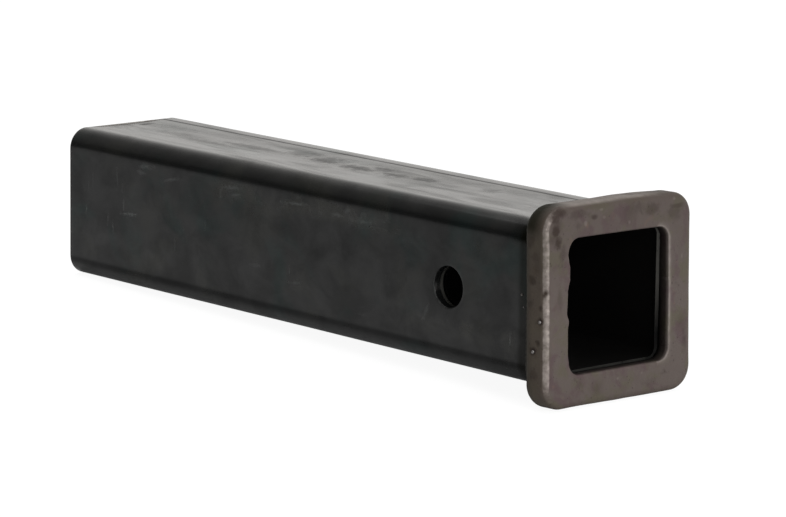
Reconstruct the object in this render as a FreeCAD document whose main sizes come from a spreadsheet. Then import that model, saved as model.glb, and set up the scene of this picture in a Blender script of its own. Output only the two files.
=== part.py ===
import FreeCAD, Part
import math
import os
import Sketcher
from FreeCAD import Placement, Rotation, Vector

# Receiver tube of a towing hitch: a square steel tube with a forged collar welded round its mouth.
# Millimetres. Each piece is modelled along the tube's own axis: origin on that axis at the centre of
# the pin hole, local +X out of the mouth, +Y along the pin hole, +Z up. The pieces are then turned
# together about the pin hole, because the collar is wider than the tube: lying on a flat surface,
# the whole thing stands on the collar's lower edge and on the tube's lower rear edge.

os.makedirs("parts", exist_ok=True)
doc = FreeCAD.newDocument("receiver_tube_with_collar")

SIZES = [
    ("overall_length", 304.8, "collar's front face to the sawn rear end"),
    ("tube_side", 63.5, "outside of the square tube"),
    ("tube_wall", 6.35, "wall of the square tube"),
    ("tube_outer_corner", 8.5, "radius of the tube's outer corners"),
    ("tube_inner_corner", 3.0, "radius of the tube's inner corners"),
    ("pin_hole_radius", 8.15, "cross hole for the hitch pin"),
    ("pin_hole_setback", 62.0, "collar's front face to the centre of the pin hole"),
    ("pin_hole_edge_break", 0.5, "small chamfer round both outer ends of the pin hole"),
    ("collar_wall", 6.9, "thickness of the collar's ring around the tube"),
    ("collar_corner", 10.0, "radius of the collar's outer corners"),
    ("collar_depth", 12.7, "collar's front face to its rear face"),
    ("collar_front_round", 3.0, "rounding of the collar's front outer edge"),
    ("collar_rear_round", 4.0, "rounding of the collar's rear outer edge"),
    ("lip_depth", 5.0, "thickness of the lip in front of the tube's end"),
    ("mouth_relief", 1.0, "how far the lip's opening stands back from the tube's bore on each side"),
    ("mouth_corner", 5.0, "radius of the opening's corners"),
    ("mouth_round", 0.9, "rounding of the opening's front edge"),
    ("seat_clearance", 0.25, "gap on each side between the tube and its seat in the collar"),
    ("weld_leg", 5.0, "leg of the fillet weld along the tube"),
    ("weld_rise", 3.0, "leg of the fillet weld up the collar's rear face"),
    ("weld_crown", 0.6, "rise of the weld's face above a flat fillet"),
]

sheet = doc.addObject("Spreadsheet::Sheet", "Sizes")
for row, (alias, value, meaning) in enumerate(SIZES, start=1):
    sheet.set(f"A{row}", alias)
    sheet.set(f"B{row}", str(value))
    sheet.set(f"C{row}", meaning)
    sheet.setAlias(f"B{row}", alias)
doc.recompute()

# Where each cross section stands along the tube, measured from the pin hole
FRONT_FACE = "Sizes.pin_hole_setback"
TUBE_FRONT = "Sizes.pin_hole_setback - Sizes.lip_depth"
COLLAR_REAR = "Sizes.pin_hole_setback - Sizes.collar_depth"

# The collar is sized from the tube that it holds: its seat, its outside and the mouth in its lip
SEAT_SIDE = "Sizes.tube_side + 2 * Sizes.seat_clearance"
SEAT_CORNER = "Sizes.tube_outer_corner + Sizes.seat_clearance"
COLLAR_SIDE = "Sizes.tube_side + 2 * Sizes.seat_clearance + 2 * Sizes.collar_wall"
BORE_SIDE = "Sizes.tube_side - 2 * Sizes.tube_wall"
MOUTH_SIDE = "Sizes.tube_side - 2 * Sizes.tube_wall + 2 * Sizes.mouth_relief"

# Angle between the tube's axis and the floor when it lies on the collar and on its rear end
REST_TILT = (
    "atan((Sizes.collar_wall + Sizes.seat_clearance)"
    " / (Sizes.overall_length - Sizes.collar_depth + Sizes.collar_rear_round))"
)

# A flat fillet's face is the long side of a right triangle. The raised face is an arc over that side.
WELD_FACE_RADIUS = (
    "((Sizes.weld_leg * Sizes.weld_leg + Sizes.weld_rise * Sizes.weld_rise) / 4"
    " + Sizes.weld_crown * Sizes.weld_crown) / (2 * Sizes.weld_crown)"
)

# How the sketcher numbers the points of a line or an arc, and the sketch's own origin
START, END, CENTRE = range(1, 4)
ORIGIN = -1

NEAR = 1e-6


def new_body(name):
    body = doc.addObject("PartDesign::Body", name)
    body.Label = name
    return body


def new_sketch(body, name, plane_role, offset=None):
    """A sketch on one of the body's own origin planes, moved along the plane's normal by offset."""
    sketch = body.newObject("Sketcher::SketchObject", name)
    plane = next(item for item in body.Origin.OriginFeatures if item.Role == plane_role)
    sketch.AttachmentSupport = [(plane, "")]
    sketch.MapMode = "FlatFace"
    if offset:
        sketch.setExpression("AttachmentOffset.Base.z", offset)
    return sketch


def tie(sketch, kind, *ends):
    sketch.addConstraint(Sketcher.Constraint(kind, *ends))


def drive(sketch, name, expression, kind, *ends):
    """Adds a dimension and ties its value to the sheet."""
    index = sketch.addConstraint(Sketcher.Constraint(kind, *ends))
    sketch.renameConstraint(index, name)
    sketch.setExpression(f"Constraints.{name}", expression)


def add_rounded_square(sketch, name, side, corner):
    """A square with rounded corners, centred on the sketch's origin. side and corner are expressions."""
    half = 20.0
    flat = 15.0
    radius = half - flat
    lines = []
    arcs = []
    for turn in range(4):
        quarter = Rotation(Vector(0, 0, 1), 90 * turn)
        start = quarter.multVec(Vector(-flat, -half, 0))
        end = quarter.multVec(Vector(flat, -half, 0))
        lines.append(sketch.addGeometry(Part.LineSegment(start, end), False))
        circle = Part.Circle(quarter.multVec(Vector(flat, -flat, 0)), Vector(0, 0, 1), radius)
        first = math.radians(90 * (turn - 1))
        last = math.radians(90 * turn)
        arcs.append(sketch.addGeometry(Part.ArcOfCircle(circle, first, last), False))
    for turn in range(4):
        tie(sketch, "Tangent", lines[turn], END, arcs[turn], START)
        tie(sketch, "Tangent", arcs[turn], END, lines[(turn + 1) % 4], START)
        tie(sketch, "Vertical" if turn % 2 else "Horizontal", lines[turn])
    for arc in arcs[1:]:
        tie(sketch, "Equal", arcs[0], arc)
    tie(sketch, "Equal", lines[0], lines[1])
    tie(sketch, "Symmetric", lines[0], START, lines[2], START, ORIGIN, START)
    drive(sketch, name + "_side", side, "DistanceX", lines[3], START, lines[1], START, 2 * half)
    drive(sketch, name + "_corner", corner, "Radius", arcs[0], radius)


def extrude(body, kind, name, sketch, length, reverse):
    """A Pad or a Pocket of a cross section, along the tube."""
    feature = body.newObject("PartDesign::" + kind, name)
    feature.Profile = sketch
    feature.setExpression("Length", length)
    feature.Reversed = reverse
    doc.recompute()
    return feature


def check_cut(before, after):
    """A cut that points away from the solid removes nothing and shows no error."""
    if after.Shape.Volume > before.Shape.Volume - 1:
        raise RuntimeError(after.Name + " removed nothing")


def ring_edges(shape, x, low, high):
    """Names of the edges in the plane at x that reach between low and high away from the tube's axis."""
    names = []
    for number, edge in enumerate(shape.Edges, start=1):
        in_plane = all(abs(vertex.X - x) < NEAR for vertex in edge.Vertexes)
        reach = max(max(abs(vertex.Y), abs(vertex.Z)) for vertex in edge.Vertexes)
        if in_plane and low < reach < high:
            names.append(f"Edge{number}")
    return names


def round_edges(body, name, base, names, radius):
    fillet = body.newObject("PartDesign::Fillet", name)
    fillet.Base = (base, names)
    fillet.setExpression("Radius", radius)
    doc.recompute()
    return fillet


def lay_down(body):
    """Turns a piece about the pin hole's axis, mouth end up, so that the whole lies as it rests."""
    body.Placement = Placement(Vector(0, 0, 0), Rotation(Vector(0, -1, 0), 1))
    body.setExpression("Placement.Rotation.Angle", REST_TILT)


def make_receiver_tube():
    """Square tube with rounded corners, from its seat in the collar to the sawn rear end."""
    tube = new_body("receiver_tube")
    section = new_sketch(tube, "tube_section", "YZ_Plane", TUBE_FRONT)
    add_rounded_square(section, "outer", "Sizes.tube_side", "Sizes.tube_outer_corner")
    add_rounded_square(section, "inner", BORE_SIDE, "Sizes.tube_inner_corner")
    walls = extrude(tube, "Pad", "tube_walls", section, "Sizes.overall_length - Sizes.lip_depth", True)

    circle_sketch = new_sketch(tube, "pin_hole_circle", "XZ_Plane")
    drawn = Part.Circle(Vector(0, 0, 0), Vector(0, 0, 1), sheet.pin_hole_radius)
    circle = circle_sketch.addGeometry(drawn, False)
    tie(circle_sketch, "Coincident", circle, CENTRE, ORIGIN, START)
    drive(circle_sketch, "radius", "Sizes.pin_hole_radius", "Radius", circle, drawn.Radius)
    pin_hole = extrude(tube, "Pocket", "pin_hole", circle_sketch, "2 * Sizes.tube_side", False)
    pin_hole.SideType = "Symmetric"
    doc.recompute()
    check_cut(walls, pin_hole)

    rims = []
    for number, edge in enumerate(pin_hole.Shape.Edges, start=1):
        on_outer_wall = abs(abs(edge.CenterOfMass.y) - sheet.tube_side / 2) < NEAR
        if on_outer_wall and isinstance(edge.Curve, Part.Circle):
            rims.append(f"Edge{number}")
    edge_break = tube.newObject("PartDesign::Chamfer", "pin_hole_edge_break")
    edge_break.Base = (pin_hole, rims)
    edge_break.setExpression("Size", "Sizes.pin_hole_edge_break")
    return tube


def make_reinforcing_collar():
    """Forged ring: a lip in front with the square mouth, and behind it a seat for the tube's end."""
    collar = new_body("reinforcing_collar")
    outline = new_sketch(collar, "collar_outline", "YZ_Plane", FRONT_FACE)
    add_rounded_square(outline, "outer", COLLAR_SIDE, "Sizes.collar_corner")
    add_rounded_square(outline, "mouth", MOUTH_SIDE, "Sizes.mouth_corner")
    ring = extrude(collar, "Pad", "collar_ring", outline, "Sizes.collar_depth", True)

    seat_outline = new_sketch(collar, "seat_outline", "YZ_Plane", COLLAR_REAR)
    add_rounded_square(seat_outline, "seat", SEAT_SIDE, SEAT_CORNER)
    seat = extrude(collar, "Pocket", "tube_seat", seat_outline, "Sizes.collar_depth - Sizes.lip_depth", True)
    check_cut(ring, seat)

    front = sheet.pin_hole_setback
    rear = front - sheet.collar_depth
    seat_reach = sheet.tube_side / 2 + sheet.seat_clearance
    outer_reach = seat_reach + sheet.collar_wall
    mouth_reach = sheet.tube_side / 2 - sheet.tube_wall + sheet.mouth_relief
    front_middle = (outer_reach + mouth_reach) / 2
    rear_middle = (outer_reach + seat_reach) / 2

    front_edges = ring_edges(seat.Shape, front, front_middle, 2 * outer_reach)
    front_round = round_edges(collar, "front_round", seat, front_edges, "Sizes.collar_front_round")
    rear_edges = ring_edges(front_round.Shape, rear, rear_middle, 2 * outer_reach)
    rear_round = round_edges(collar, "rear_round", front_round, rear_edges, "Sizes.collar_rear_round")
    mouth_edges = ring_edges(rear_round.Shape, front, 0, mouth_reach + NEAR)
    round_edges(collar, "mouth_round", rear_round, mouth_edges, "Sizes.mouth_round")
    return collar


def make_collar_weld():
    """Fillet weld with a raised face, carried once round the tube against the collar's rear face."""
    weld = new_body("collar_weld")
    path = new_sketch(weld, "weld_path", "YZ_Plane", COLLAR_REAR)
    add_rounded_square(path, "tube", "Sizes.tube_side", "Sizes.tube_outer_corner")

    # The section lies under the tube, where the path's first straight side begins
    section = new_sketch(weld, "weld_section", "XZ_Plane", "Sizes.tube_side / 2 - Sizes.tube_outer_corner")
    root = Vector(sheet.pin_hole_setback - sheet.collar_depth, -sheet.tube_side / 2, 0)
    toe = root - Vector(sheet.weld_leg, 0, 0)
    top = root - Vector(0, sheet.weld_rise, 0)
    bulge = (toe + top) / 2 - Vector(sheet.weld_crown, sheet.weld_crown, 0)
    on_tube = section.addGeometry(Part.LineSegment(toe, root), False)
    on_collar = section.addGeometry(Part.LineSegment(root, top), False)
    face = section.addGeometry(Part.Arc(toe, bulge, top), False)
    tie(section, "Coincident", on_tube, END, on_collar, START)
    tie(section, "Coincident", on_collar, END, face, END)
    tie(section, "Coincident", face, START, on_tube, START)
    tie(section, "Horizontal", on_tube)
    tie(section, "Vertical", on_collar)
    drive(section, "root_place", COLLAR_REAR, "DistanceX", ORIGIN, START, on_tube, END, root.x)
    drive(section, "root_depth", "Sizes.tube_side / 2", "DistanceY", on_tube, END, ORIGIN, START, -root.y)
    drive(section, "leg", "Sizes.weld_leg", "DistanceX", on_tube, START, on_tube, END, sheet.weld_leg)
    drive(section, "rise", "Sizes.weld_rise", "DistanceY", on_collar, END, on_collar, START, sheet.weld_rise)
    drive(section, "face_radius", WELD_FACE_RADIUS, "Radius", face, 2 * sheet.weld_leg)

    bead = weld.newObject("PartDesign::AdditivePipe", "weld_bead")
    bead.Profile = section
    bead.Spine = path
    return weld


pieces = [make_receiver_tube(), make_reinforcing_collar(), make_collar_weld()]
for piece in pieces:
    lay_down(piece)
doc.recompute()

for item in doc.Objects:
    if "Invalid" in item.State or "Error" in item.State:
        raise RuntimeError(f"{item.Name} did not compute: {item.State}")
for piece in pieces:
    shape = piece.Shape
    if shape.isNull() or not shape.isValid() or len(shape.Solids) != 1:
        raise RuntimeError(piece.Label + " is not one sound solid")
    shape.exportStep(f"parts/{piece.Label}.step")
    print(piece.Label, "volume", round(shape.Volume, 1), "mm3")
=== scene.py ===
"""Looks of a square steel receiver tube with a forged collar welded round its mouth.

The shapes are worked out in the tube's own straight frame: the origin is on the tube's axis at the middle of the
pin hole, +X points out of the mouth, +Y along the pin hole and +Z up. lay_down() then turns every point by the small
angle at which the tube lies on the floor, because the collar is larger than the tube.
"""

import math

import bmesh
import bpy
import numpy as np
from mathutils import Matrix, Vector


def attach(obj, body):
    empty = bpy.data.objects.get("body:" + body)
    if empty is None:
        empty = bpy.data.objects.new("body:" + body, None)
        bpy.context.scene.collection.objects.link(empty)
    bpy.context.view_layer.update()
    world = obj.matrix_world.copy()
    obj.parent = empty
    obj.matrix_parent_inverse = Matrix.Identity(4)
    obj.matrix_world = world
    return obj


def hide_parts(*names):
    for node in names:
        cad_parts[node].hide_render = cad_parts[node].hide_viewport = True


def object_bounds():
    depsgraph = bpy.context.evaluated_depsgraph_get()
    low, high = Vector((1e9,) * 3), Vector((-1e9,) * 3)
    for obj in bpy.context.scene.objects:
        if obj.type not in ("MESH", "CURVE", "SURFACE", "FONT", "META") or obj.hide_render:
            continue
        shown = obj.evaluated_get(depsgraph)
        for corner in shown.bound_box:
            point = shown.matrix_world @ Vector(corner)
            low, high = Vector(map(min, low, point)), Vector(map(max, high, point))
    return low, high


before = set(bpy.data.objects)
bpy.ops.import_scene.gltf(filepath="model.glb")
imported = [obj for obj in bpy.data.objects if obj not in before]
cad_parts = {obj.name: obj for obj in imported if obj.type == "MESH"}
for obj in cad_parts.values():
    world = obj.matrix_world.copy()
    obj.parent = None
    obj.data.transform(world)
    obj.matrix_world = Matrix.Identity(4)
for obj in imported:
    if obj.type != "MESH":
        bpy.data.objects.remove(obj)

bl_info = {
    "name": "Receiver Tube",
    "version": (1, 0, 0),
    "blender": (4, 5, 0),
    "location": "View3D > Sidebar > Receiver Tube",
    "description": "Square steel receiver tube with a forged collar welded round its mouth",
    "category": "Object",
}

MM = 0.001
QUARTER = np.pi / 2
CAD_BOX = [list(corner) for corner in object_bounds()]
PICTURE_WIDTH = 786
SENSOR_WIDTH = 36.0
ROOT = "root"


# ---------------------------------------------------------------- settings


def length(name, description, millimetres):
    return bpy.props.FloatProperty(
        name=name, description=description, default=millimetres * MM, unit="LENGTH", precision=5
    )


def colour(name, description, value):
    return bpy.props.FloatVectorProperty(
        name=name, description=description, default=value, subtype="COLOR", min=0.0, max=1.0
    )


def number(name, description, value):
    return bpy.props.FloatProperty(name=name, description=description, default=value)


def angle(name, description, degrees):
    return bpy.props.FloatProperty(name=name, description=description, default=math.radians(degrees), subtype="ANGLE")


class ReceiverTubeSizes(bpy.types.PropertyGroup):
    """Sizes of the drawn tube and of the pin hole."""

    overall: length("Overall length", "From the sawn rear end to the front face of the collar", 304.8)
    side: length("Side", "Outside width and height of the tube", 63.5)
    wall: length("Wall", "Thickness of the tube's wall", 6.35)
    outer_corner: length("Outer corner", "Radius of the tube's outer corners", 8.5)
    inner_corner: length("Inner corner", "Radius of the tube's inner corners", 3.0)
    hole_radius: length("Hole radius", "Radius of the pin hole", 8.15)
    hole_setback: length("Hole setback", "From the front face of the collar back to the middle of the pin hole", 62.0)
    edge_break: length("Edge break", "Rounding of the sawn and drilled edges", 0.5)
    waviness: length("Waviness", "How far the rolled walls swell in and out", 0.07)
    sag: length("Sag", "How far the top wall is sunk along its middle", 0.50)


class ReceiverCollarSizes(bpy.types.PropertyGroup):
    """Sizes of the forged collar, of its seat on the tube and of the weld behind it."""

    side: length("Side", "Outside width and height of the collar", 77.8)
    corner: length("Corner", "Radius of the collar's outer corners", 10.0)
    depth: length("Depth", "Length of the collar along the tube", 12.7)
    front_round: length("Front round", "Rounding of the outer front edge", 3.0)
    rear_round: length("Rear round", "Rounding of the outer rear edge", 4.0)
    lip: length("Lip", "Depth of the front lip that the shank passes", 5.0)
    mouth: length("Mouth", "Width and height of the opening in the lip", 52.8)
    mouth_corner: length("Mouth corner", "Radius of the opening's corners", 5.0)
    mouth_round: length("Mouth round", "Rounding of the opening's front edge", 0.9)
    seat: length("Seat", "Width and height of the recess that the tube's end sits in", 64.0)
    weld_leg: length("Weld leg", "Leg of the fillet weld along the tube", 5.0)
    weld_rise: length("Weld rise", "Leg of the fillet weld up the collar's rear face", 3.0)
    weld_crown: length("Weld crown", "How far the bead stands out of its chord", 0.6)
    ripple: length("Ripple", "Distance between the bead's ripples", 2.3)


class ReceiverFinish(bpy.types.PropertyGroup):
    """Colours of the steel."""

    scale: colour("Mill scale", "Black mill scale on the tube", (0.0052, 0.0055, 0.0055))
    scale_blue: colour("Bluish scale", "Patches of thinner, bluish scale", (0.0042, 0.0068, 0.0066))
    scale_pale: colour("Pale scale", "Dusty, greyer patches of scale", (0.0095, 0.0098, 0.0085))
    scale_dust: colour("Dusty scale", "Olive-grey dust and flakes on the scale", (0.0175, 0.0175, 0.0130))
    scuff: colour("Scuff", "Where the scale is scraped thin", (0.070, 0.074, 0.072))
    sawn: colour("Sawn steel", "Bare steel of the sawn end", (0.33, 0.32, 0.30))
    forged: colour("Forged steel", "Brown-grey scale of the collar", (0.079, 0.0625, 0.0555))
    forged_purple: colour("Purple scale", "Purplish patches on the collar", (0.067, 0.045, 0.045))
    forged_olive: colour("Olive scale", "Olive patches on the collar", (0.072, 0.061, 0.044))
    forged_side: colour("Side scale", "Browner, darker scale round the collar's sides", (0.059, 0.046, 0.032))
    # The bore colour is darker than the scale outside, as painted shade inside the tube and the mouth.
    bore: colour("Bore scale", "Oily black scale inside the tube and the mouth", (0.0022, 0.0019, 0.0017))
    cut_end: colour("Cut end", "Dull steel of the tube's end behind the lip", (0.043, 0.042, 0.038))
    # The oil colour beside the collar is partly painted shade.
    oil: colour("Oil", "Olive-black burnt oil beside the collar", (0.0030, 0.0028, 0.0012))
    forged_dark: colour("Dark scale", "Dark smudges and pits on the collar", (0.024, 0.016, 0.013))
    # The soot colour also serves as painted shade on the collar and on the near side of the weld.
    soot: colour("Soot", "Olive-black soot on the collar beside the weld", (0.014, 0.013, 0.008))
    rust: colour("Rust", "Thin rust on the collar", (0.112, 0.070, 0.052))
    # The worn colour is also the colour of the painted highlights on the collar's edges and rims.
    worn: colour("Worn edge", "Rubbed metal along the collar's edges", (0.41, 0.365, 0.335))
    weld: colour("Weld metal", "Weld bead and spatter", (0.17, 0.16, 0.155))


class ReceiverStage(bpy.types.PropertyGroup):
    """Camera, lamps, floor and backdrop."""

    azimuth: angle("Azimuth", "Camera's turn from the front face towards the near side wall", 48.42502737)
    elevation: angle("Elevation", "Camera's height above the tube's own level", 10.56418251)
    roll: angle("Roll", "Camera's turn about its own line of sight", 0.78342104)
    distance: number("Distance", "From the camera to the collar's front face, in metres", 1.534238)
    aside: number("Aside", "Camera's shift to its left, in metres", 0.086244)
    below: number("Below", "Camera's shift downwards, in metres", -0.016545)
    focal: number("Focal length", "Focal length in picture widths", 4031.038468 / PICTURE_WIDTH)
    world: number("World", "Strength of the surrounding light", 0.45)
    overhead: number("Overhead lamp", "Power of the lamp above, in watts", 8.0)
    key: number("Front lamp", "Power of the lamp that faces the mouth, in watts", 14.0)
    paper: colour("Paper", "Floor and backdrop", (0.80, 0.80, 0.80))


# ---------------------------------------------------------------- shapes


def smooth_noise(points, cell, seed):
    """Noise from -1 to 1. Random values stand on the corners of a cubic lattice of side cell, and a point takes the
    sum of its cube's eight corners, each weighted along each axis by w or 1 - w, where w = 6t^5 - 15t^4 + 10t^3."""
    random = np.random.default_rng(seed)
    order = random.permutation(256)
    values = random.uniform(-1.0, 1.0, 256)
    place = points / cell
    low = np.floor(place).astype(int)
    t = place - low
    w = t**3 * (t * (6.0 * t - 15.0) + 10.0)
    corners = np.array(list(np.ndindex(2, 2, 2)))
    at = (low[:, None, :] + corners) & 255
    weight = np.where(corners, w[:, None, :], 1.0 - w[:, None, :]).prod(axis=2)
    index = order[(order[(order[at[..., 0]] + at[..., 1]) & 255] + at[..., 2]) & 255]
    return (weight * values[index]).sum(axis=1)


def swell(points, cell, depth, seed):
    """Moves each point by depth times three smooth noises, one for each axis."""
    noises = [smooth_noise(points, cell, seed + axis) for axis in range(3)]
    return points + depth * np.stack(noises, axis=1)


def rise(value, low, high):
    """0 at low, 1 at high, straight between them and level past them. Low may be the larger of the two."""
    return np.clip((value - low) / (high - low), 0.0, 1.0)


def bell(distance, reach):
    """A bell curve: e to the power of minus the square of distance over reach."""
    return np.exp(-((distance / reach) ** 2))


def square_columns(along, corner_steps):
    """Columns round a square with rounded corners, starting on the +Y side and turning towards +Z. Each column has a
    flat direction c and a corner direction u, so that its point is (h - r) c + r u for half side h and corner radius
    r. along holds the places on a side, above -1 and up to 1. The other three sides are quarter turns of the first."""
    arc = np.linspace(0.0, QUARTER, corner_steps + 1)[1:]
    c = np.concatenate([np.stack([np.ones_like(along), along], 1), np.ones((corner_steps, 2))])
    u = np.concatenate([np.tile([1.0, 0.0], (len(along), 1)), np.stack([np.cos(arc), np.sin(arc)], 1)])
    quarter_turn = np.array([[0.0, 1.0], [-1.0, 0.0]])
    turns = [np.linalg.matrix_power(quarter_turn, k) for k in range(4)]
    return np.concatenate([c @ turn for turn in turns]), np.concatenate([u @ turn for turn in turns])


def square_rings(rows, columns):
    """Points of rounded squares, one ring for each row. A row holds x, half side, corner radius and the centre's y,
    and its ring's point in a column is (x, centre + y, z), where (y, z) = (h - r) c + r u."""
    c, u = columns
    x, half, radius, centre = (rows[:, k, None] for k in range(4))
    y = (half - radius) * c[:, 0] + radius * u[:, 0] + centre
    z = (half - radius) * c[:, 1] + radius * u[:, 1]
    return np.stack([np.broadcast_to(x, y.shape), y, z], axis=2)


def ring_faces(ring_count, column_count):
    """Quads of a grid that closes both ways: from each ring to the next and from each column to the next."""
    ring, column = np.meshgrid(np.arange(ring_count), np.arange(column_count), indexing="ij")
    ring_next, column_next = (ring + 1) % ring_count, (column + 1) % column_count
    corners = [(ring, column), (ring_next, column), (ring_next, column_next), (ring, column_next)]
    return np.stack([r * column_count + k for r, k in corners], axis=2)


def run(start, end, steps):
    """Rows from start to end in equal steps, leaving out the end."""
    t = np.linspace(0.0, 1.0, steps, endpoint=False)[:, None]
    return np.asarray(start) * (1.0 - t) + np.asarray(end) * t


def rounding(x, half, radius, size, start, turn, steps):
    """Rows of a rounded edge of a ring. The section's point goes round a circle of the given size about (x, half):
    at angle a it is x + size cos a, half + size sin a, and the corner radius grows by size sin a too."""
    a = np.linspace(start, start + turn, steps, endpoint=False)
    lift = size * np.sin(a)
    return np.stack([x + size * np.cos(a), half + lift, radius + lift, np.zeros(steps)], axis=1)


def lay_down(points, tilt):
    """Turns the points by the tilt about the pin hole's axis, mouth up: x cos - z sin, y, x sin + z cos."""
    x, y, z = points.T
    return np.stack([x * math.cos(tilt) - z * math.sin(tilt), y, x * math.sin(tilt) + z * math.cos(tilt)], axis=1)


def rest_tilt(tube, collar):
    """Angle of the tube's underside when it lies on the collar's lower rear edge and on its own rear edge."""
    step = (collar.side - tube.side) / 2
    return math.atan(step / (tube.overall - collar.depth + collar.rear_round))


def build_piece(name, points, quads, layers, materials, material_index=None):
    """Makes a mesh object at the origin from points, quads and named per-point numbers, with smooth shading."""
    mesh = bpy.data.meshes.new(name)
    mesh.vertices.add(len(points))
    mesh.vertices.foreach_set("co", points.astype(np.float32).ravel())
    mesh.loops.add(quads.size)
    mesh.loops.foreach_set("vertex_index", quads.astype(np.int32).ravel())
    mesh.polygons.add(len(quads))
    mesh.polygons.foreach_set("loop_start", np.arange(0, quads.size, 4, dtype=np.int32))
    if material_index is not None:
        mesh.polygons.foreach_set("material_index", material_index.astype(np.int32))
    mesh.update(calc_edges=True)
    for layer, values in layers.items():
        attribute = mesh.attributes.new(layer, "FLOAT", "POINT")
        attribute.data.foreach_set("value", values.astype(np.float32))
    shape = bmesh.new()
    shape.from_mesh(mesh)
    bmesh.ops.recalc_face_normals(shape, faces=shape.faces)
    shape.to_mesh(mesh)
    shape.free()
    mesh.polygons.foreach_set("use_smooth", np.ones(len(quads), dtype=bool))
    for material in materials:
        mesh.materials.append(material)
    piece = bpy.data.objects.new(name, mesh)
    bpy.context.scene.collection.objects.link(piece)
    return piece


def hole_loop(rings, columns):
    """Grid places round the edge of a block of rings and columns, as two index arrays: along the first column, the
    last ring, back along the last column and back along the first ring."""
    down, across = len(rings) - 1, len(columns) - 1
    ring = np.concatenate([rings[:-1], np.full(across, rings[-1]), rings[:0:-1], np.full(across, rings[0])])
    column = np.concatenate([np.full(down, columns[0]), columns[:-1], np.full(down, columns[-1]), columns[:0:-1]])
    return ring, column


def hole_rings(outer, inner, radius, edge_break):
    """Rings that lead from a square loop on the outer wall, through a round hole with rounded edges, to a square
    loop on the inner wall. On each wall a point moves in a straight line from the square to the circle of radius
    plus edge break, at the outer point's own angle; on an edge it follows a quarter circle of the edge break."""
    around = np.arctan2(outer[:, 2], outer[:, 0])
    side = np.sign(outer[0, 1])
    depth_out, depth_in = abs(outer[0, 1]), abs(inner[0, 1])
    wall_steps, edge_steps, bore_steps = 8, 4, 5

    def circle(size, depth):
        return np.stack([size * np.cos(around), np.full(len(around), side * depth), size * np.sin(around)], axis=1)

    blend = np.linspace(0.0, 1.0, wall_steps + 1)[1:, None, None]
    wide = radius + edge_break
    on_outer = outer * (1.0 - blend) + circle(wide, depth_out) * blend
    turn = np.linspace(0.0, QUARTER, edge_steps + 1)
    edge_out = [
        circle(wide - edge_break * math.sin(a), depth_out - edge_break * (1.0 - math.cos(a))) for a in turn[1:]
    ]
    bore_depths = np.linspace(depth_out - edge_break, depth_in + edge_break, bore_steps + 1)[1:-1]
    bore = [circle(radius, depth) for depth in bore_depths]
    edge_in = [
        circle(wide - edge_break * math.cos(a), depth_in + edge_break * (1.0 - math.sin(a))) for a in turn[:-1]
    ]
    on_inner = circle(wide, depth_in) * (1.0 - blend) + inner * blend
    return np.concatenate([on_outer, edge_out, bore, edge_in, circle(wide, depth_in)[None], on_inner[:-1]])


# The tube's finishes, in the order of its materials.
WALL, SAWN, BORE, CUT_END = range(4)
# Steps of the tube's grid: stations behind the pin hole's block, across it and before it, columns on a side between
# a corner and the block, columns round a corner, and rows on an end face and on a rounded edge.
REAR_STEPS, BLOCK_STEPS, FRONT_STEPS, SIDE_STEPS, CORNER_STEPS, FACE_STEPS, EDGE_STEPS = 109, 24, 33, 8, 14, 6, 4
# From the pin hole's middle to the edge of its block.
BLOCK = 14.0 * MM
# How far the bore's front end leans to the near side, the share of that by which it leans up, and how far back.
BURR, BURR_LIFT, BURR_REACH = 1.0 * MM, 0.6, 2.5 * MM


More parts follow.
